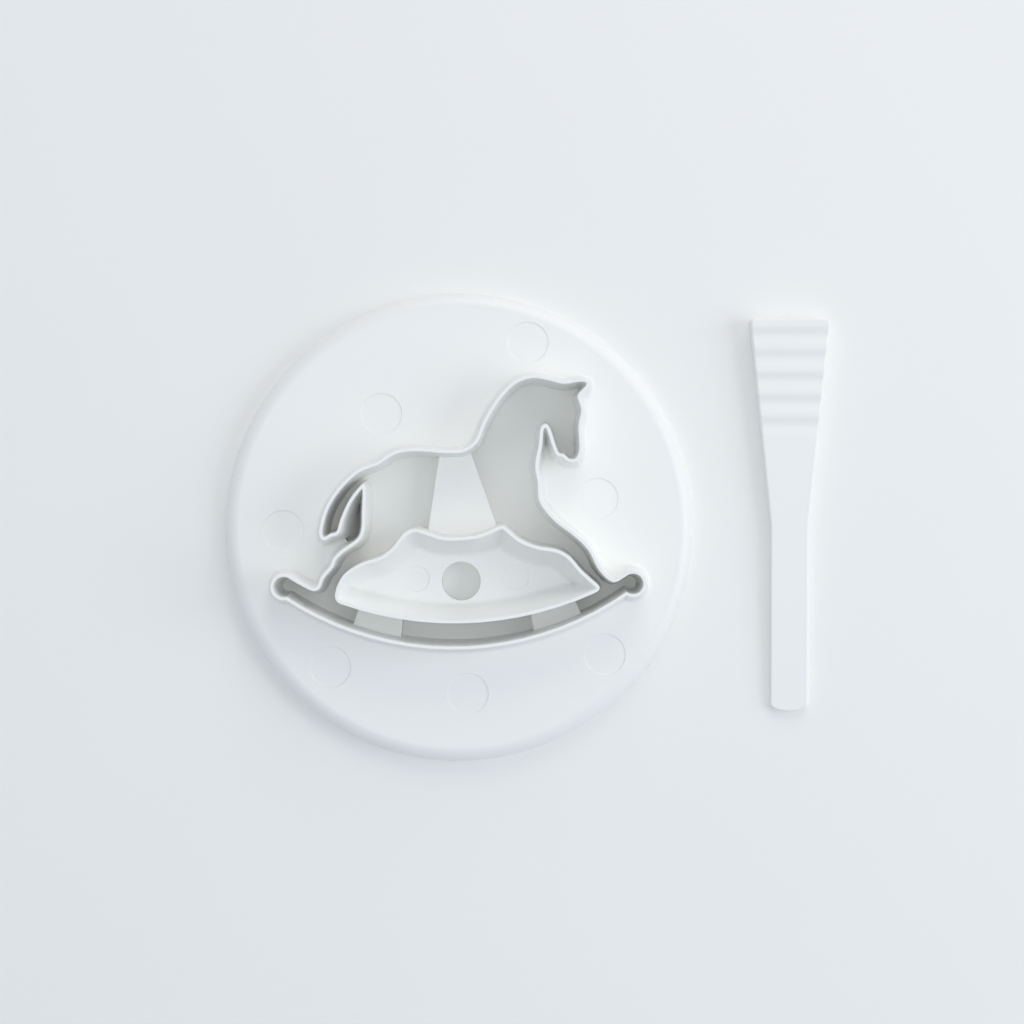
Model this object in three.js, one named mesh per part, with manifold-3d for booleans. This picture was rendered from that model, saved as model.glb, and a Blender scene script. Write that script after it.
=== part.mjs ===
// Cookie cutter: a round base plate with a rocking-horse cutting wall, a saddle-shaped inner
// cutting wall held by three bridges, and a loose push-out stick lying beside it.
// Millimetres, +Z up. The origin is the centre of the plate's flat underside.

import * as THREE from 'three';
import { mergeVertices } from 'three/addons/utils/BufferGeometryUtils.js';
import Module from 'manifold-3d';

const wasm = await Module();
wasm.setup();

// Base plate
const DISC_DIAMETER = 90;
const PLATE_THICKNESS = 4;
const EDGE_ROUND = 2.8;
const EDGE_STEPS = 8;
const DISC_SEGMENTS = 96;

// Cutting walls: wedges with a thin flat rim, steep on the side of the figure, sloping away from it
const WALL_HEIGHT = 8.5;
const RIM_WIDTH = 0.6;
const WALL_DRAFT_DEGREES = 3.4;
const WALL_SLOPE_DEGREES = 5.5;
const WALL_FOOT_ROUND = 0.55;
const SADDLE_DRAFT_DEGREES = 2.8;
const SADDLE_SLOPE_DEGREES = 18;
const SADDLE_FOOT_ROUND = 0.8;
const FOOT_STEPS = 4;

// Figure: the horse's length between the inner faces of its rocker ends, at the rim
const FIGURE_LENGTH = 69.8;

// Push-out hole and the round marks that the mould's ejector pins leave
const HOLE_DIAMETER = 7.5;
const PIN_MARK_DIAMETER = 8;
const SMALL_PIN_MARK_DIAMETER = 5;
const PIN_MARK_DEPTH = 0.16;

// Push-out stick
const STICK_LENGTH = 75.6;
const STICK_EDGE_ROUND = 1;
const GRIP_WIDTH = 15.2;
const GRIP_THICKNESS = 4;
const GRIP_CORNER = 0.8;
const TAPER_LENGTH = 39.7;
const BLADE_CLEARANCE = 0.25;
const TIP_LENGTH = 1.55;
const TIP_THICKNESS = 1.4;
const GROOVE_COUNT = 5;
const GROOVE_PITCH = 4.3;
const GROOVE_DEPTH = 0.4;
const GROOVE_INSET = 1.2;
const GROOVE_STEPS = 10;

// Place of the stick: its gap to the plate, and how far its grip end lies above the plate's centre
const STICK_GAP = 11.05;
const STICK_REACH = 40.05;

// Facets: their length on free curves and the height of an arc over its facet
const FACET_LENGTH = 1;
const FACET_SAG = 0.03;

// How far a cutting tool runs past the faces that it cuts
const OVERRUN = 1;

// The drawing of the figure, about the plate's centre, for the rim's cutting edges.
// The rocker ends in a ball at each side, an arc between the two angles at which its curves leave it.
const BALL_RADIUS = 1.95;
const FRONT_BALL = [33, -10.6];
const FRONT_BALL_DEGREES = [231, 482];
const REAR_BALL = [-32.9, -11.2];
const REAR_BALL_DEGREES = [47, 287];
const ROCKER_LOWEST = [-1.1, -22.4];

// The horse, anticlockwise from the front ball to the rear ball
const FRONT_LEG = [[29.4, -10.3], [26.8, -8.3], [24.5, -4.2], [22.1, -1.8], [17.9, 1.5]];
const CHEST = [[15.3, 5], [15, 8.6], [14.5, 11.4], [15.3, 16.2], [15.6, 18.9]];
const THROAT = [[16.5, 19.6], [17.1, 19.1], [19.1, 14]];
const MUZZLE = [[19.9, 13.9], [20.9, 13], [22.1, 13], [22.8, 14.3]];
const FACE = [[22.7, 19.3], [23.2, 22.3], [22.5, 24.9]];
const EAR = [[23.4, 26], [24.1, 26.8], [24.2, 27.25], [23.7, 27.5], [22.6, 27.5], [20, 27.1]];
const CREST = [[17.3, 27.7], [14.2, 28.2], [11, 27.2], [7.9, 24.1], [5.2, 19.6], [3.6, 16], [1.3, 14.3]];
const BACK = [[-1.5, 14], [-8.5, 14.4], [-11.9, 13.8], [-15.3, 11.7]];
const TAIL = [[-18.5, 10.5], [-22.2, 7.1], [-24.6, 3.2], [-25.6, -0.5]];
const TAIL_TIP = [[-25.6, -1.3], [-25.3, -1.8], [-24.8, -1.6], [-24, -1.1], [-23.2, -0.95], [-22.8, -0.5]];
const TAIL_UNDERSIDE = [[-22.2, 1.5], [-20.4, 5.4], [-18.4, 7.9], [-17.9, 8.3], [-17.5, 7.6]];
const HIND_LEG = [[-17.5, 3], [-17.7, -0.7], [-18.4, -2.3], [-22, -5], [-23.2, -6.4]];
const HOOF = [[-23.5, -7.4], [-25.4, -9.7], [-26, -11.3], [-27.1, -12], [-29.8, -10.8]];

// The room between the tail's tip and the hind leg, which the feet of both walls share. The pocket
// behind it is a well through the plate, whose sides stand off the cutting edge within its bounds.
const TAIL_GAP = 3.9;
const WELL_SIDE = 1.45;
const WELL_BOUNDS = [[-22.8, -1], [-21, -3], [-18, -2], [-18, 4.6], [-21.6, 4.6]];

// The saddle, clockwise from its rear lower corner to its front tip, and its belly line
const SADDLE_CORNER = [[-22.1, -14.4], [-22.8, -13.95], [-23.15, -13.2], [-23.05, -11.9]];
const SADDLE_REAR = [[-22.6, -10.6], [-21.5, -8.8], [-18.5, -6.8], [-14.5, -5.4]];
const SADDLE_CANTLE = [[-12.3, -3.7], [-10.2, -1.1], [-8.2, -0.2], [-5.8, -0.8], [-3, -1.7]];
const SADDLE_SEAT = [[0.4, -1.8], [4, -1.3], [7.4, 0.1], [8.4, 0.4], [9.2, -0.1]];
const SADDLE_FRONT = [[11.6, -2.1], [15, -3.5], [18.6, -4.1], [21, -5.4], [23.2, -7.9]];
const SADDLE_TIP = [[25.6, -10.1], [26.4, -10.8], [26.7, -11.35], [26.45, -11.9], [25.8, -12.3]];
const SADDLE_LOWEST = [-1.5, -18.05];

// Bridges, each by its two long edges, from the horse wall to the saddle
const BRIDGES = {
  top_bridge: { rear: [[-3.7, 14], [-5.8, 0.2]], front: [[2.3, 14.3], [7.2, 0.4]] },
  rear_bridge: { rear: [[-20.6, -19.6], [-19.3, -15.9]], front: [[-11.2, -21.9], [-10.8, -17.8]] },
  front_bridge: { rear: [[14.6, -20.9], [13.8, -16.9]], front: [[23.8, -17.4], [22.5, -14.4]] },
};

const HOLE_CENTRE = [0.45, -10.3];
const PIN_MARKS = [
  [13.2, 35.5], [-14.9, 21.8], [-33.7, -0.7], [26.6, 5.5], [-24.7, -26.8], [1.7, -31.9], [28, -24.4],
];
const SMALL_PIN_MARKS = [[-8.1, -9.9], [10.9, -9.6]];

const rise = (degrees) => Math.tan(THREE.MathUtils.degToRad(degrees));
const rimHeight = PLATE_THICKNESS + WALL_HEIGHT;
const drawnLength = FRONT_BALL[0] - REAR_BALL[0] + 2 * BALL_RADIUS;
const figureScale = FIGURE_LENGTH / drawnLength;

function drawn([x, y]) {
  return new THREE.Vector2(x, y).multiplyScalar(figureScale);
}

// Curves: each run of points leaves out its last point, so runs join into one closed loop

function smoothRun(points) {
  const through = points.map((point) => new THREE.Vector3(point.x, point.y, 0));
  const curve = new THREE.CatmullRomCurve3(through, false, 'centripetal');
  const spans = points.length - 1;
  const run = [];
  for (let span = 0; span < spans; span++) {
    const steps = Math.max(2, Math.ceil(points[span].distanceTo(points[span + 1]) / FACET_LENGTH));
    for (let step = 0; step < steps; step++) {
      const { x, y } = curve.getPoint((span + step / steps) / spans);
      run.push(new THREE.Vector2(x, y));
    }
  }
  return run;
}

function arcRun(centre, radius, from, to) {
  const steps = Math.ceil(Math.abs(to - from) * Math.sqrt(radius / (8 * FACET_SAG)));
  const arc = new THREE.EllipseCurve(centre.x, centre.y, radius, radius, from, to, to < from);
  return arc.getPoints(steps).slice(0, -1);
}

// The arc from start to end that bulges downward through a lowest region at middle
function arcThrough(start, middle, end) {
  const [a, b] = [middle.clone().sub(start), end.clone().sub(start)];
  const twiceCross = 2 * a.cross(b);
  const centre = new THREE.Vector2(
    (b.y * a.lengthSq() - a.y * b.lengthSq()) / twiceCross,
    (a.x * b.lengthSq() - b.x * a.lengthSq()) / twiceCross,
  ).add(start);
  const from = start.clone().sub(centre).angle();
  const to = end.clone().sub(centre).angle();
  return arcRun(centre, centre.distanceTo(start), from, to);
}

function ball(at, degrees) {
  const centre = drawn(at);
  const radius = BALL_RADIUS * figureScale;
  const turns = degrees.map(THREE.MathUtils.degToRad);
  const [start, end] = turns.map((turn) => {
    return new THREE.Vector2(Math.cos(turn), Math.sin(turn)).multiplyScalar(radius).add(centre);
  });
  return { start, end, run: arcRun(centre, radius, ...turns) };
}

function horseLoop() {
  const front = ball(FRONT_BALL, FRONT_BALL_DEGREES);
  const rear = ball(REAR_BALL, REAR_BALL_DEGREES);
  const upper = [
    ...FRONT_LEG, ...CHEST, ...THROAT, ...MUZZLE, ...FACE, ...EAR, ...CREST, ...BACK,
    ...TAIL, ...TAIL_TIP, ...TAIL_UNDERSIDE, ...HIND_LEG, ...HOOF,
  ].map(drawn);
  return [
    ...smoothRun([front.end, ...upper, rear.start]),
    ...rear.run,
    ...arcThrough(rear.end, drawn(ROCKER_LOWEST), front.start),
    ...front.run,
  ];
}

function saddleLoop() {
  const upper = [
    ...SADDLE_CORNER, ...SADDLE_REAR, ...SADDLE_CANTLE, ...SADDLE_SEAT, ...SADDLE_FRONT, ...SADDLE_TIP,
  ].map(drawn).reverse();
  return [...smoothRun(upper), ...arcThrough(upper.at(-1), drawn(SADDLE_LOWEST), upper[0])];
}

// Offset of an anticlockwise loop, outward for a positive distance. Sides that the offset turns
// round are dropped, and their corners share one point, so every loop keeps its count of corners.

function sideMeeting(a, b) {
  const cross = a.along.cross(b.along);
  if (Math.abs(cross) < 1e-9) return b.from.clone();
  const reach = b.from.clone().sub(a.from).cross(b.along) / cross;
  return a.from.clone().addScaledVector(a.along, reach);
}

function offsetLoop(loop, distance) {
  let sides = loop.map((start, index) => {
    const along = loop[(index + 1) % loop.length].clone().sub(start).normalize();
    const outward = new THREE.Vector2(along.y, -along.x);
    return { index, along, from: start.clone().addScaledVector(outward, distance) };
  });
  let corners;
  let turned;
  do {
    corners = sides.map((side, i) => sideMeeting(sides.at(i - 1), side));
    const kept = sides.filter((side, i) => {
      const next = corners[(i + 1) % corners.length];
      return next.clone().sub(corners[i]).dot(side.along) > 0;
    });
    turned = kept.length < sides.length;
    if (turned) sides = kept;
  } while (turned);
  const moved = new Array(loop.length);
  sides.forEach((side, i) => {
    let index = sides.at(i - 1).index;
    do {
      index = (index + 1) % loop.length;
      moved[index] = corners[i];
    } while (index !== side.index);
  });
  return moved;
}

// Lofts between loops that have the same count of corners

function closedGeometry(positions, triangles) {
  const geometry = new THREE.BufferGeometry();
  geometry.setAttribute('position', new THREE.Float32BufferAttribute(positions, 3));
  geometry.setIndex(triangles.flat());
  const merged = mergeVertices(geometry, 1e-5);
  const index = Array.from(merged.index.array);
  const kept = [];
  for (let i = 0; i < index.length; i += 3) {
    const [a, b, c] = index.slice(i, i + 3);
    if (a !== b && b !== c && c !== a) kept.push(a, b, c);
  }
  merged.setIndex(kept);
  return merged;
}

function bands(layers, closed) {
  const count = layers[0].loop.length;
  const triangles = [];
  const last = closed ? layers.length : layers.length - 1;
  for (let layer = 0; layer < last; layer++) {
    const lower = layer * count;
    const upper = ((layer + 1) % layers.length) * count;
    for (let i = 0; i < count; i++) {
      const j = (i + 1) % count;
      triangles.push([lower + i, lower + j, upper + j], [lower + i, upper + j, upper + i]);
    }
  }
  return triangles;
}

const layerPositions = (layers) => layers.flatMap(({ loop, z }) => loop.flatMap(({ x, y }) => [x, y, z]));

// A ring whose section is closed: its layers go up outside, across the rim and down inside
function loftRing(layers) {
  return closedGeometry(layerPositions(layers), bands(layers, true));
}

// A solid from its lowest loop to its highest
function loftSolid(layers) {
  const count = layers[0].loop.length;
  const cap = (level, flip) => {
    const { loop } = layers[level];
    const own = loop.map((_, i) => i).filter((i) => loop[i].distanceTo(loop.at(i - 1)) > 1e-5);
    const faces = THREE.ShapeUtils.triangulateShape(own.map((i) => loop[i]), []);
    return faces.map((face) => (flip ? face.reverse() : face).map((i) => level * count + own[i]));
  };
  const caps = [...cap(0, true), ...cap(layers.length - 1, false)];
  return closedGeometry(layerPositions(layers), [...bands(layers, false), ...caps]);
}

// Booleans on closed meshes

function toSolid(geometry) {
  const bare = geometry.clone();
  bare.deleteAttribute('normal');
  bare.deleteAttribute('uv');
  const merged = mergeVertices(bare, 1e-5);
  const vertProperties = new Float32Array(merged.attributes.position.array);
  const triVerts = new Uint32Array(merged.index.array);
  return new wasm.Manifold(new wasm.Mesh({ numProp: 3, vertProperties, triVerts }));
}

function toGeometry(solid) {
  const { vertProperties, triVerts } = solid.getMesh();
  const geometry = new THREE.BufferGeometry();
  geometry.setAttribute('position', new THREE.BufferAttribute(vertProperties, 3));
  geometry.setIndex(new THREE.BufferAttribute(triVerts, 1));
  return geometry;
}

function uprightCylinder(diameter, bottom, top, [x, y]) {
  const geometry = new THREE.CylinderGeometry(diameter / 2, diameter / 2, top - bottom, 36);
  geometry.rotateX(Math.PI / 2);
  geometry.translate(x, y, (bottom + top) / 2);
  return toSolid(geometry);
}

function sinkPinMarks(solid, diameter, places) {
  const sunk = PLATE_THICKNESS - PIN_MARK_DEPTH;
  return places.reduce((left, place) => {
    return left.subtract(uprightCylinder(diameter, sunk, PLATE_THICKNESS + OVERRUN, place));
  }, solid);
}

// The figure's two cutting edges, and the loops that their drafted faces have at any height

const horse = horseLoop();
const saddle = saddleLoop();
const horseInside = (z) => ({ loop: offsetLoop(horse, (z - rimHeight) * rise(WALL_DRAFT_DEGREES)), z });
const saddleOutside = (z) => ({ loop: offsetLoop(saddle, (rimHeight - z) * rise(SADDLE_DRAFT_DEGREES)), z });

// A wall's sloping face from its rim down to its foot, which runs into the plate over a hollow round,
// by steps away from the cutting edge and above the plate
function slopingFace(degrees, round) {
  const lean = THREE.MathUtils.degToRad(degrees);
  const left = Math.PI / 2 - lean;
  const foot = RIM_WIDTH + WALL_HEIGHT * Math.tan(lean) + round * Math.tan(left / 2);
  const steps = [{ away: RIM_WIDTH, above: WALL_HEIGHT }];
  for (let step = 0; step <= FOOT_STEPS; step++) {
    const turn = lean + left * (step / FOOT_STEPS);
    steps.push({ away: foot - round * Math.cos(turn), above: round * (1 - Math.sin(turn)) });
  }
  return steps;
}

// The horse wall's foot stops where those of the tail and of the hind leg would meet
const horseOutside = slopingFace(WALL_SLOPE_DEGREES, WALL_FOOT_ROUND).map(({ away, above }) => {
  const out = Math.min(away, (TAIL_GAP * figureScale) / 2);
  return { loop: offsetLoop(horse, out), z: PLATE_THICKNESS + above };
});

const saddleInside = slopingFace(SADDLE_SLOPE_DEGREES, SADDLE_FOOT_ROUND).map(({ away, above }) => {
  return { loop: offsetLoop(saddle, -away), z: PLATE_THICKNESS + above };
});

// The well takes the foot's round along with the plate
function tailWell() {
  const upright = (loop, past) => {
    return toSolid(loftSolid([{ loop, z: -past }, { loop, z: PLATE_THICKNESS + WALL_FOOT_ROUND + past }]));
  };
  const bounds = upright(WELL_BOUNDS.map(drawn), OVERRUN);
  return bounds.subtract(upright(offsetLoop(horse, WELL_SIDE), 2 * OVERRUN));
}

const well = tailWell();

function horseWall() {
  const rim = { loop: horse, z: rimHeight };
  const wall = loftRing([...horseOutside.toReversed(), rim, horseInside(PLATE_THICKNESS)]);
  return toGeometry(toSolid(wall).subtract(well));
}

function saddleWall() {
  const rim = { loop: saddle, z: rimHeight };
  return loftRing([saddleOutside(PLATE_THICKNESS), rim, ...saddleInside]);
}

// A drafted cut through the plate, run past both faces
function plateCut(loopAt) {
  return toSolid(loftSolid([{ ...loopAt(0), z: -OVERRUN }, loopAt(0), loopAt(PLATE_THICKNESS + OVERRUN)]));
}

const horseOpening = plateCut(horseInside);
const saddleIsland = plateCut(saddleOutside);

// A rounded edge from a side to the face above it, by steps inward from the side and below the face
function roundedEdge(radius) {
  const steps = [];
  for (let step = 0; step <= EDGE_STEPS; step++) {
    const turn = (step / EDGE_STEPS) * (Math.PI / 2);
    steps.push({ inward: radius * (1 - Math.cos(turn)), below: radius * (1 - Math.sin(turn)) });
  }
  return steps;
}

function baseDisc() {
  const radius = DISC_DIAMETER / 2;
  const edge = roundedEdge(Math.min(EDGE_ROUND, PLATE_THICKNESS));
  const profile = [
    new THREE.Vector2(0, 0),
    new THREE.Vector2(radius, 0),
    ...edge.map(({ inward, below }) => new THREE.Vector2(radius - inward, PLATE_THICKNESS - below)),
    new THREE.Vector2(0, PLATE_THICKNESS),
  ];
  const disc = toSolid(new THREE.LatheGeometry(profile, DISC_SEGMENTS).rotateX(Math.PI / 2));
  const cut = disc.subtract(horseOpening).subtract(well);
  return toGeometry(sinkPinMarks(cut, PIN_MARK_DIAMETER, PIN_MARKS));
}

function saddleFloor() {
  const floor = toSolid(loftSolid([saddleOutside(0), saddleOutside(PLATE_THICKNESS)]));
  const centre = drawn(HOLE_CENTRE).toArray();
  const hole = uprightCylinder(HOLE_DIAMETER, -OVERRUN, PLATE_THICKNESS + OVERRUN, centre);
  const marks = SMALL_PIN_MARKS.map((place) => drawn(place).toArray());
  return toGeometry(sinkPinMarks(floor.subtract(hole), SMALL_PIN_MARK_DIAMETER, marks));
}

// A strip at plate level between its two long edges, run past its ends and cut to the figure
function bridge({ rear, front }) {
  const past = RIM_WIDTH + 2 * rimHeight * rise(WALL_DRAFT_DEGREES);
  const lengthened = (edge) => {
    const [outer, inner] = edge.map(drawn);
    const along = inner.clone().sub(outer).setLength(past);
    return [outer.sub(along), inner.add(along)];
  };
  const [rearOuter, rearInner] = lengthened(rear);
  const [frontOuter, frontInner] = lengthened(front);
  const strip = new THREE.ExtrudeGeometry(new THREE.Shape([rearOuter, rearInner, frontInner, frontOuter]), {
    depth: PLATE_THICKNESS,
    bevelEnabled: false,
  });
  return toGeometry(toSolid(strip).intersect(horseOpening).subtract(saddleIsland));
}

// The stick lies along Y, its grip end at y = 0 and its tip at minus its length

function stickLoop() {
  const halfGrip = GRIP_WIDTH / 2;
  const halfBlade = (HOLE_DIAMETER - BLADE_CLEARANCE) / 2;
  const tipStart = TIP_LENGTH - STICK_LENGTH;
  const shape = new THREE.Shape();
  shape.moveTo(halfBlade, tipStart);
  shape.lineTo(halfBlade, -TAPER_LENGTH);
  shape.lineTo(halfGrip, -GRIP_CORNER);
  shape.quadraticCurveTo(halfGrip, 0, halfGrip - GRIP_CORNER, 0);
  shape.lineTo(GRIP_CORNER - halfGrip, 0);
  shape.quadraticCurveTo(-halfGrip, 0, -halfGrip, -GRIP_CORNER);
  shape.lineTo(-halfBlade, -TAPER_LENGTH);
  shape.lineTo(-halfBlade, tipStart);
  shape.absellipse(0, tipStart, halfBlade, TIP_LENGTH, Math.PI, 2 * Math.PI);
  const points = shape.getPoints(8);
  return points.filter((point, i) => point.distanceTo(points.at(i - 1)) > 1e-6);
}

// Side view of the room that the stick keeps: flat below, open above but for rounded thumb grooves
function stickProfile(wedge) {
  const clear = GRIP_THICKNESS + OVERRUN;
  const grooves = [];
  for (let step = 0; step <= GROOVE_COUNT * GROOVE_STEPS; step++) {
    const turns = step / GROOVE_STEPS;
    const y = -GROOVE_INSET - turns * GROOVE_PITCH;
    const sunk = (GROOVE_DEPTH / 2) * (1 - Math.cos(2 * Math.PI * turns));
    grooves.push([y, GRIP_THICKNESS + wedge * y - sunk]);
  }
  const [start, end] = [grooves[0][0], grooves.at(-1)[0]];
  const tip = -STICK_LENGTH - OVERRUN;
  return [
    [OVERRUN, 0], [OVERRUN, clear], [start, clear], ...grooves, [end, clear], [tip, clear], [tip, 0],
  ];
}

// A wedge with upright sides and a rounded upper edge: a level body, sheared along its length
function pushStick() {
  const outline = stickLoop();
  const layers = [{ loop: outline, z: -OVERRUN }];
  for (const { inward, below } of roundedEdge(STICK_EDGE_ROUND)) {
    layers.push({ loop: offsetLoop(outline, -inward), z: GRIP_THICKNESS - below });
  }
  const wedge = (GRIP_THICKNESS - TIP_THICKNESS) / STICK_LENGTH;
  const body = loftSolid(layers).applyMatrix4(new THREE.Matrix4().makeShear(0, 0, 0, wedge, 0, 0));
  const side = new THREE.Shape(stickProfile(wedge).map(([y, z]) => new THREE.Vector2(y, z)));
  const slab = new THREE.ExtrudeGeometry(side, { depth: GRIP_WIDTH + 2 * OVERRUN, bevelEnabled: false });
  slab.translate(0, 0, -GRIP_WIDTH / 2 - OVERRUN);
  slab.applyMatrix4(new THREE.Matrix4().makeBasis(
    new THREE.Vector3(0, 1, 0),
    new THREE.Vector3(0, 0, 1),
    new THREE.Vector3(1, 0, 0),
  ));
  return toGeometry(toSolid(body).intersect(toSolid(slab)));
}

function plasticMesh(name, geometry) {
  const material = new THREE.MeshStandardMaterial({ color: 0xe8edf0, roughness: 0.35, metalness: 0 });
  const mesh = new THREE.Mesh(geometry, material);
  mesh.name = name;
  return mesh;
}

const cutter = new THREE.Group();
cutter.add(plasticMesh('base_disc', baseDisc()));
cutter.add(plasticMesh('horse_wall', horseWall()));
cutter.add(plasticMesh('saddle_floor', saddleFloor()));
cutter.add(plasticMesh('saddle_wall', saddleWall()));
for (const [name, edges] of Object.entries(BRIDGES)) {
  cutter.add(plasticMesh(name, bridge(edges)));
}

const stick = plasticMesh('push_stick', pushStick());
stick.position.set(DISC_DIAMETER / 2 + STICK_GAP + GRIP_WIDTH / 2, STICK_REACH, 0);

const cookieCutterSet = new THREE.Group();
cookieCutterSet.add(cutter, stick);

export default cookieCutterSet;
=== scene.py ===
"""A white plastic cookie cutter with a rocking-horse wall, and its loose push-out stick."""

import math

import bpy
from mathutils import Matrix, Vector


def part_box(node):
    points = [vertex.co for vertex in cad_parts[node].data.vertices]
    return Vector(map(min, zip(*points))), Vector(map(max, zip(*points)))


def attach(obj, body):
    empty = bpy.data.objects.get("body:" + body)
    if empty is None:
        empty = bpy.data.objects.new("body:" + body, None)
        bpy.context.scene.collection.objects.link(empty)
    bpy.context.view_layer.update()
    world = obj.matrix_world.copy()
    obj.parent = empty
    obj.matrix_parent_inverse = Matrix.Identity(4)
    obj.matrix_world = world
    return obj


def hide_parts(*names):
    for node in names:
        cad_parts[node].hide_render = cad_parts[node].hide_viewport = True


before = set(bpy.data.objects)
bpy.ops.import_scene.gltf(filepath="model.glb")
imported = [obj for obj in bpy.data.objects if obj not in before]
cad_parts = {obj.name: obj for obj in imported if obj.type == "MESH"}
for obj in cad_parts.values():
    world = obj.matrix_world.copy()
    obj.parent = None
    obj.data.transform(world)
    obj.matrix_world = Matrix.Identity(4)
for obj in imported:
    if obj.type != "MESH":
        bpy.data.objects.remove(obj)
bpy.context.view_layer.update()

MM = 0.001
CLOSE = 0.01 * MM
WELD = 0.002 * MM
FLAT_DEGREES = 0.3
ROUND_SEGMENTS = 3
FINE_SEGMENTS = 2
SMOOTH_DEGREES = 35

PLATE_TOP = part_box("base_disc")[1].z
PLATE_SMOOTH_DEGREES = 40
PLATE_EDGE_BAND = 0.5 * MM
PLATE_UNDER_ROUND = 0.3 * MM
PIN_MARK_FLOOR = PLATE_TOP - 0.16 * MM
PIN_MARK_HOLLOW = 0.14 * MM

RIM_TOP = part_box("horse_wall")[1].z
RIM_ROUND = 0.15 * MM
RIM_CREASE_DEGREES = 30
WALL_FOOT = 0.6 * MM

# The pocket between the tail and the hind leg, in plan, and how much of its width the lean leaves
TAIL_POINT = Vector((-22.2, 1.5)) * MM
OFF_TAIL = Vector((0.908, -0.419))
TAIL_CLEARANCE = 1 * MM
MOUTH_POINT = Vector((-22.8, -1)) * MM
INTO_POCKET = Vector((0.743, 0.669))
MOUTH_CLEARANCE = 0.02 * MM
LEG_LIMIT = -18.5 * MM
LEAN_CENTRE = (-18.95 * MM, 0, 0)
LEAN_AT_TOP = 0.7
LEAN_AT_UNDERSIDE = 0.12

STICK_TIP_THICKNESS = 1.4 * MM
STICK_TOP_ROUND = 0.35 * MM
STICK_UNDER_ROUND = 0.15 * MM
STICK_CREASE_DEGREES = 40
GROOVE_COUNT = 5
GROOVE_PITCH = 4.3 * MM
GROOVE_DEPTH = 0.4 * MM
GROOVE_INSET = 1.2 * MM
GROOVE_STEPS = 10

# A normal's upward part, by which faces are told apart
FACES_DOWN = -0.99
FACES_UP = 0.7
STANDS_UP = 0.1

PLASTIC_TINTS = (0.902, 0.908, 0.878, 1), (0.922, 0.928, 0.898, 1)
PAPER_TINTS = (0.921, 0.925, 0.892, 1), (0.931, 0.935, 0.902, 1)
ROOM_TINT = (0.827, 0.87, 1, 1)
ROOM_STRENGTH = 0.569
BACKDROP = (0.78, 0.81, 0.84, 1)
FADE_START = 0.2
FADE_END = 0.6
TABLE_SIZE = 6
SOFTBOX_DISTANCE = 1.0

RIM_SPREAD = 0.0259
CAMERA_X = 10.18 * MM
CAMERA_Y = 2.96 * MM
CAMERA_FIELD = 198.14 * MM


# Modelling

def work_on(piece):
    """Makes a piece the only selected object."""
    if bpy.context.mode != "OBJECT":
        bpy.ops.object.mode_set(mode="OBJECT")
    bpy.ops.object.select_all(action="DESELECT")
    piece.select_set(True)
    bpy.context.view_layer.objects.active = piece


def unpick(piece, kind):
    """Leaves a piece with nothing picked in its mesh, ready for picking points, edges or faces."""
    work_on(piece)
    bpy.ops.object.mode_set(mode="EDIT")
    bpy.ops.mesh.select_mode(type=kind)
    bpy.ops.mesh.select_all(action="DESELECT")
    bpy.ops.object.mode_set(mode="OBJECT")


def pick_edges(piece, wanted):
    """Goes into edit mode with only those edges picked that pass a test on their ends and normals."""
    unpick(piece, "EDGE")
    mesh = piece.data
    normals = {}
    for face in mesh.polygons:
        for key in face.edge_keys:
            normals.setdefault(key, []).append(face.normal.copy())
    for edge in mesh.edges:
        ends = [mesh.vertices[i].co for i in edge.vertices]
        beside = normals.get(tuple(sorted(edge.vertices)), [])
        edge.select = len(beside) == 2 and wanted(ends, beside)
    bpy.ops.object.mode_set(mode="EDIT")


def pick_points(piece, wanted):
    """Goes into edit mode with only those points picked that pass a test on their place."""
    unpick(piece, "VERT")
    for point in piece.data.vertices:
        point.select = wanted(point.co)
    bpy.ops.object.mode_set(mode="EDIT")


def pick_faces(piece, wanted):
    """Goes into edit mode with only those faces picked that pass a test on their normal."""
    unpick(piece, "FACE")
    for face in piece.data.polygons:
        face.select = wanted(face.normal)
    bpy.ops.object.mode_set(mode="EDIT")


def moulded_copy(node, name):
    """A copy of a node with its triangles joined up and its flat faces made whole."""
    piece = bpy.data.objects.new(name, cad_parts[node].data.copy())
    bpy.context.scene.collection.objects.link(piece)
    piece.data.materials.clear()
    work_on(piece)
    bpy.ops.object.mode_set(mode="EDIT")
    bpy.ops.mesh.select_all(action="SELECT")
    bpy.ops.mesh.customdata_custom_splitnormals_clear()
    bpy.ops.mesh.remove_doubles(threshold=WELD)
    bpy.ops.mesh.dissolve_limited(angle_limit=math.radians(FLAT_DEGREES))
    bpy.ops.object.mode_set(mode="OBJECT")
    return piece


def round_edges(piece, radius, segments, wanted):
    """Rounds those edges of a piece that pass a test on their ends and normals."""
    pick_edges(piece, wanted)
    bpy.ops.mesh.bevel(
        offset=radius, segments=segments, profile=0.5, affect="EDGES", clamp_overlap=True,
    )
    bpy.ops.object.mode_set(mode="OBJECT")


def smooth(piece, degrees):
    """Shades a piece smooth except at edges sharper than an angle, with its flat faces flat."""
    work_on(piece)
    bpy.ops.object.shade_smooth_by_angle(angle=math.radians(degrees))
    weights = piece.modifiers.new("flat faces stay flat", "WEIGHTED_NORMAL")
    weights.keep_sharp = True
    weights.weight = 100
    bpy.ops.object.modifier_apply(modifier=weights.name)


def at_height(ends, z):
    return all(abs(end.z - z) < CLOSE for end in ends)


def is_crease(beside, degrees):
    return beside[0].angle(beside[1], 0) > math.radians(degrees)


# Shader nodes

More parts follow.
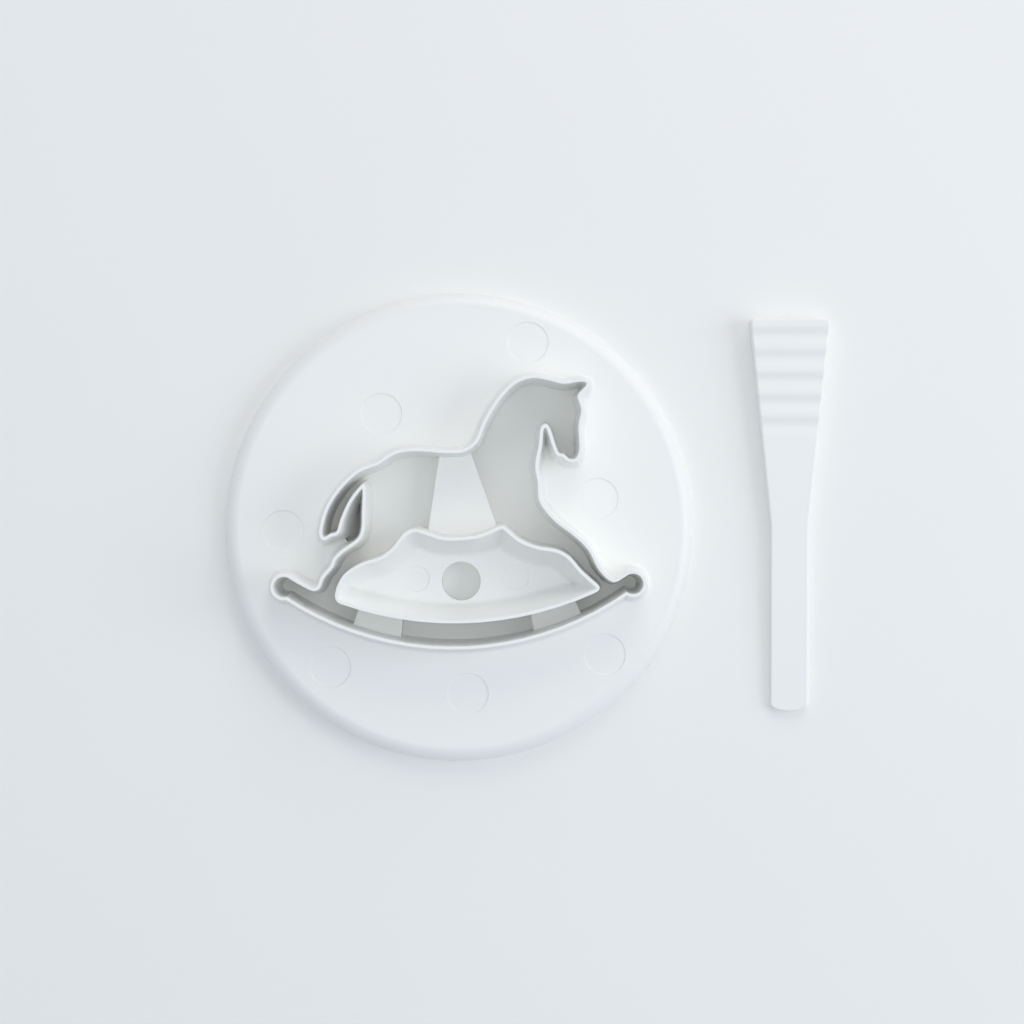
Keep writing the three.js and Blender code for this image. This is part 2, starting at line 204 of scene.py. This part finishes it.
class Value:
    """A number in a material, so that shader maths reads as Python."""

    def __init__(self, finish, socket):
        self.finish = finish
        self.socket = socket

    def maths(self, operation, first, second):
        made = self.finish.node("ShaderNodeMath", {"operation": operation}, {0: first, 1: second})
        return Value(self.finish, made.outputs[0])

    def __add__(self, other):
        return self.maths("ADD", self, other)

    def __radd__(self, other):
        return self.maths("ADD", other, self)

    def __mul__(self, other):
        return self.maths("MULTIPLY", self, other)

    def __rmul__(self, other):
        return self.maths("MULTIPLY", other, self)


class Finish:
    """The nodes of one material, or of the room's light, and its main shader."""

    def __init__(self, owner, shader):
        owner.use_nodes = True
        self.tree = owner.node_tree
        self.shader = self.tree.nodes[shader]

    def node(self, kind, settings, sockets):
        made = self.tree.nodes.new(kind)
        for key, value in settings.items():
            setattr(made, key, value)
        self.fill(made, sockets)
        return made

    def fill(self, made, sockets):
        for key, value in sockets.items():
            value = value.socket if isinstance(value, Value) else value
            if isinstance(value, bpy.types.NodeSocket):
                self.tree.links.new(value, made.inputs[key])
            else:
                made.inputs[key].default_value = value

    def value(self, kind, settings, sockets, output=0):
        return Value(self, self.node(kind, settings, sockets).outputs[output])

    def tint(self, share, tints):
        """A colour that wanders between two close tints."""
        mixed = self.node("ShaderNodeMix", {"data_type": "RGBA"}, {
            "Factor": share, "A": tints[0], "B": tints[1],
        })
        return mixed.outputs["Result"]

    def show_instead(self, share, shader, output):
        """Shows another shader in place of the main one, by a share of 0 to 1."""
        mixed = self.node("ShaderNodeMixShader", {}, {
            0: share, 1: self.shader.outputs[0], 2: shader.outputs[0],
        })
        self.fill(self.tree.nodes[output], {"Surface": mixed.outputs[0]})


def moulded_plastic():
    """Smooth white plastic: faint cloudiness, and a fine moulded skin on gentle waves."""
    material = bpy.data.materials.new("white_moulded_plastic")
    finish = Finish(material, "Principled BSDF")
    place = finish.node("ShaderNodeTexCoord", {}, {}).outputs["Object"]
    cloud = finish.value("ShaderNodeTexNoise", {}, {"Vector": place, "Scale": 45.0, "Detail": 3.0})
    skin = finish.value("ShaderNodeTexNoise", {}, {"Vector": place, "Scale": 1500.0, "Detail": 2.0})
    wave = finish.value("ShaderNodeTexNoise", {}, {"Vector": place, "Scale": 120.0, "Detail": 1.0})
    bump = finish.node("ShaderNodeBump", {}, {
        "Strength": 0.25, "Distance": 0.02 * MM, "Height": skin * 0.3 + wave,
    })
    finish.fill(finish.shader, {
        "Base Color": finish.tint(cloud, PLASTIC_TINTS),
        "Roughness": 0.34 + 0.12 * cloud,
        "Normal": bump.outputs["Normal"],
        "IOR": 1.49,
    })
    return material


def table_paper():
    """Pale paper, which the camera sees fade into the backdrop well away from the object."""
    material = bpy.data.materials.new("pale_table")
    finish = Finish(material, "Principled BSDF")
    place = finish.node("ShaderNodeTexCoord", {}, {}).outputs["Object"]
    grain = finish.value("ShaderNodeTexNoise", {}, {"Vector": place, "Scale": 30.0, "Detail": 4.0})
    finish.fill(finish.shader, {
        "Base Color": finish.tint(grain, PAPER_TINTS),
        "Roughness": 0.8,
        "Specular IOR Level": 0.2,
    })
    away = finish.value("ShaderNodeVectorMath", {"operation": "LENGTH"}, {0: place}, "Value")
    far = finish.value("ShaderNodeMapRange", {"interpolation_type": "SMOOTHSTEP"}, {
        "Value": away, "From Min": FADE_START, "From Max": FADE_END,
    })
    seen = finish.value("ShaderNodeLightPath", {}, {}, "Is Camera Ray")
    backdrop = finish.node("ShaderNodeEmission", {}, {"Color": BACKDROP})
    finish.show_instead(far * seen, backdrop, "Material Output")
    return material


# Pieces

def finish_piece(piece, body, material, *nodes):
    piece.data.materials.append(material)
    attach(piece, body)
    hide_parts(*nodes)


def in_pocket(place):
    """Whether a place lies in the pocket between the tail and the hind leg, clear of the tail."""
    plan = place.to_2d()
    off_tail = (plan - TAIL_POINT).dot(OFF_TAIL)
    past_mouth = (plan - MOUTH_POINT).dot(INTO_POCKET)
    return off_tail > TAIL_CLEARANCE and past_mouth > MOUTH_CLEARANCE and plan.x < LEG_LIMIT


def lean_pocket(piece, bottom, top, share):
    """Draws the tail's side of the pocket in towards the hind leg between two heights."""
    pick_points(piece, lambda place: (
        in_pocket(place) and bottom - CLOSE < place.z < top + CLOSE
    ))
    bpy.ops.transform.resize(value=(share, 1, 1), center_override=LEAN_CENTRE)
    bpy.ops.object.mode_set(mode="OBJECT")


def hollow_pin_marks(piece):
    """Gives the shallow round marks of the mould's pins a sloping side that catches the light."""
    round_edges(piece, PIN_MARK_HOLLOW, FINE_SEGMENTS, lambda ends, beside: (
        at_height(ends, PIN_MARK_FLOOR)
    ))


def make_plate():
    plate = moulded_copy("base_disc", "round_plate")
    lean_pocket(plate, PLATE_TOP, PLATE_TOP, LEAN_AT_TOP)
    lean_pocket(plate, 0, 0, LEAN_AT_UNDERSIDE)
    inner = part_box("base_disc")[1].x - PLATE_EDGE_BAND
    round_edges(plate, PLATE_UNDER_ROUND, ROUND_SEGMENTS, lambda ends, beside: (
        at_height(ends, 0) and all(end.to_2d().length > inner for end in ends)
    ))
    hollow_pin_marks(plate)
    smooth(plate, PLATE_SMOOTH_DEGREES)
    return plate


def make_wall(node, name):
    wall = moulded_copy(node, name)
    lean_pocket(wall, PLATE_TOP, PLATE_TOP + WALL_FOOT, LEAN_AT_TOP)
    round_edges(wall, RIM_ROUND, ROUND_SEGMENTS, lambda ends, beside: (
        at_height(ends, RIM_TOP) and is_crease(beside, RIM_CREASE_DEGREES)
    ))
    smooth(wall, SMOOTH_DEGREES)
    return wall


def make_slab(node, name):
    slab = moulded_copy(node, name)
    hollow_pin_marks(slab)
    smooth(slab, SMOOTH_DEGREES)
    return slab


def press_grooves(stick, grip_end, half_thickness):
    """Cuts the grip across in close steps, then sinks the steps of its top along a row of waves."""
    turns = [step / GROOVE_STEPS for step in range(GROOVE_COUNT * GROOVE_STEPS + 1)]
    cuts = [grip_end - GROOVE_INSET - turn * GROOVE_PITCH for turn in turns]
    work_on(stick)
    bpy.ops.object.mode_set(mode="EDIT")
    for cut in cuts:
        bpy.ops.mesh.select_all(action="SELECT")
        bpy.ops.mesh.bisect(plane_co=(0, cut, 0), plane_no=(0, 1, 0))
    for turn, cut in zip(turns, cuts):
        pick_points(stick, lambda place: abs(place.y - cut) < CLOSE and place.z > half_thickness)
        sunk = GROOVE_DEPTH / 2 * (1 - math.cos(2 * math.pi * turn))
        bpy.ops.transform.translate(value=(0, 0, -sunk))
    bpy.ops.object.mode_set(mode="OBJECT")


def make_stick():
    """The stick's outline drawn up to a long wedge, with thumb grooves pressed into its grip."""
    stick = moulded_copy("push_stick", "push_out_stick")
    low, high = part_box("push_stick")
    pick_faces(stick, lambda normal: normal.z > FACES_DOWN)
    bpy.ops.mesh.delete(type="FACE")
    bpy.ops.mesh.select_all(action="SELECT")
    bpy.ops.mesh.extrude_region_move(TRANSFORM_OT_translate={"value": (0, 0, high.z)})
    bpy.ops.mesh.select_all(action="SELECT")
    bpy.ops.mesh.normals_make_consistent(inside=False)
    slope = (high.z - STICK_TIP_THICKNESS) / (high.y - low.y)
    bpy.ops.mesh.bisect(
        plane_co=(0, high.y, high.z), plane_no=(0, -slope, 1), use_fill=True, clear_outer=True,
    )
    press_grooves(stick, high.y, high.z / 2)
    round_edges(stick, STICK_TOP_ROUND, ROUND_SEGMENTS, lambda ends, beside: (
        max(normal.z for normal in beside) > FACES_UP
        and min(abs(normal.z) for normal in beside) < STANDS_UP
    ))
    round_edges(stick, STICK_UNDER_ROUND, FINE_SEGMENTS, lambda ends, beside: (
        is_crease(beside, STICK_CREASE_DEGREES) and at_height(ends, 0)
    ))
    smooth(stick, SMOOTH_DEGREES)
    return stick


# Stage

def make_table(material):
    bpy.ops.object.select_all(action="DESELECT")
    bpy.ops.mesh.primitive_plane_add(size=TABLE_SIZE)
    table = bpy.context.object
    table.name = "table_top"
    table.data.materials.append(material)


def make_softbox(name, azimuth, elevation, side, power, colour):
    """A square light that faces the object from a direction in degrees."""
    lamp = bpy.data.lights.new(name, "AREA")
    lamp.shape = "SQUARE"
    lamp.size = side
    lamp.energy = power
    lamp.color = colour
    softbox = bpy.data.objects.new(name, lamp)
    turn, lift = math.radians(azimuth), math.radians(elevation)
    reach = math.cos(lift)
    towards = Vector((reach * math.cos(turn), reach * math.sin(turn), math.sin(lift)))
    softbox.location = towards * SOFTBOX_DISTANCE
    softbox.rotation_euler = towards.to_track_quat("Z", "Y").to_euler()
    bpy.context.scene.collection.objects.link(softbox)


def make_light():
    """A soft room, which the camera sees as the backdrop, and four softboxes."""
    world = bpy.data.worlds.new("room")
    room = Finish(world, "Background")
    room.fill(room.shader, {"Color": ROOM_TINT, "Strength": ROOM_STRENGTH})
    ray = room.node("ShaderNodeLightPath", {}, {}).outputs
    seen = Value(room, ray["Is Camera Ray"]) + ray["Is Glossy Ray"] + ray["Is Transmission Ray"]
    backdrop = room.node("ShaderNodeBackground", {}, {"Color": BACKDROP})
    room.show_instead(seen, backdrop, "World Output")
    bpy.context.scene.world = world
    make_softbox("window", azimuth=0, elevation=30, side=0.63, power=3.15, colour=(0.905, 0.959, 1))
    make_softbox("lamp", azimuth=75, elevation=30, side=0.63, power=2.5, colour=(1, 0.94, 0.868))
    make_softbox("wall", azimuth=180, elevation=40, side=0.88, power=0.4, colour=(0.75, 1, 0.875))
    make_softbox("ceiling", azimuth=0, elevation=89.8, side=0.14, power=1.03, colour=(0.97, 1, 0.97))


def make_camera():
    """Straight above the table, as high as the rim's spread over the base in the picture asks."""
    view = bpy.data.cameras.new("camera")
    camera = bpy.data.objects.new("camera", view)
    bpy.context.scene.collection.objects.link(camera)
    height = RIM_TOP / RIM_SPREAD
    camera.location = (CAMERA_X, CAMERA_Y, height)
    view.sensor_fit = "HORIZONTAL"
    view.angle = 2 * math.atan(CAMERA_FIELD / 2 / height)
    view.clip_start = 0.01
    bpy.context.scene.camera = camera


plastic = moulded_plastic()
make_camera()
make_light()
make_table(table_paper())
finish_piece(make_plate(), "cutter", plastic, "base_disc")
finish_piece(make_wall("horse_wall", "horse_cutting_wall"), "cutter", plastic, "horse_wall")
finish_piece(make_wall("saddle_wall", "saddle_cutting_wall"), "cutter", plastic, "saddle_wall")
finish_piece(make_slab("saddle_floor", "saddle_base"), "cutter", plastic, "saddle_floor")
for node in ("top_bridge", "rear_bridge", "front_bridge"):
    finish_piece(make_slab(node, node.replace("bridge", "tie")), "cutter", plastic, node)
finish_piece(make_stick(), "push_stick", plastic, "push_stick")

bpy.context.scene.view_settings.view_transform = "Standard"
